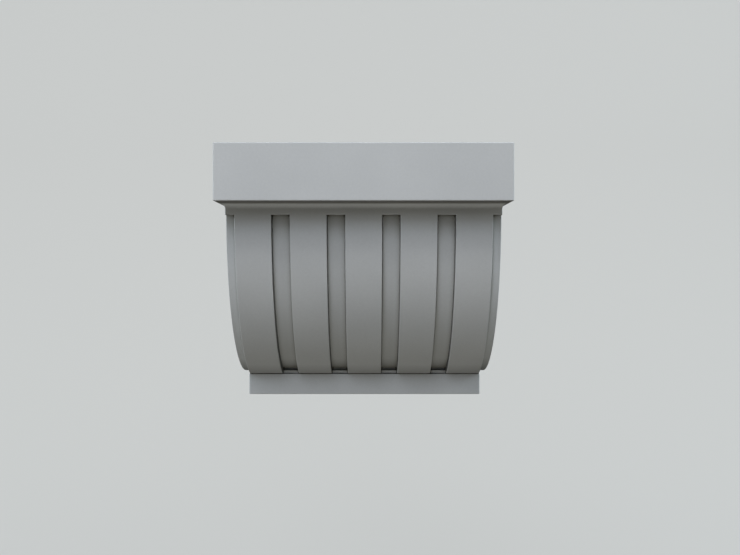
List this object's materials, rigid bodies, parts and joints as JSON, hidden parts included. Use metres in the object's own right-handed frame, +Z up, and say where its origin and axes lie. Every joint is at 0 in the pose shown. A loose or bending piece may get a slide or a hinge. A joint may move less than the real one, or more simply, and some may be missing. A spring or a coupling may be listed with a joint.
{
  "type": "decorative corbel",
  "caption": "Fluted quarter-round wall corbel: plain slab over a cove, flat raised bands between sunk flutes that sweep back to a small base plate, and a flat back built into a wall.",
  "frame": {"origin": "middle of the flat back, half-way up, on the wall plane", "axes": "+Z up, +Y into the wall, X across the face; the front looks along -Y"},
  "size_m": [0.3, 0.231, 0.2708],
  "materials": {
    "matt_plaster": "matte"
  },
  "bodies": {
    "root": {"corbel": "matt_plaster"}
  },
  "joints": []
}
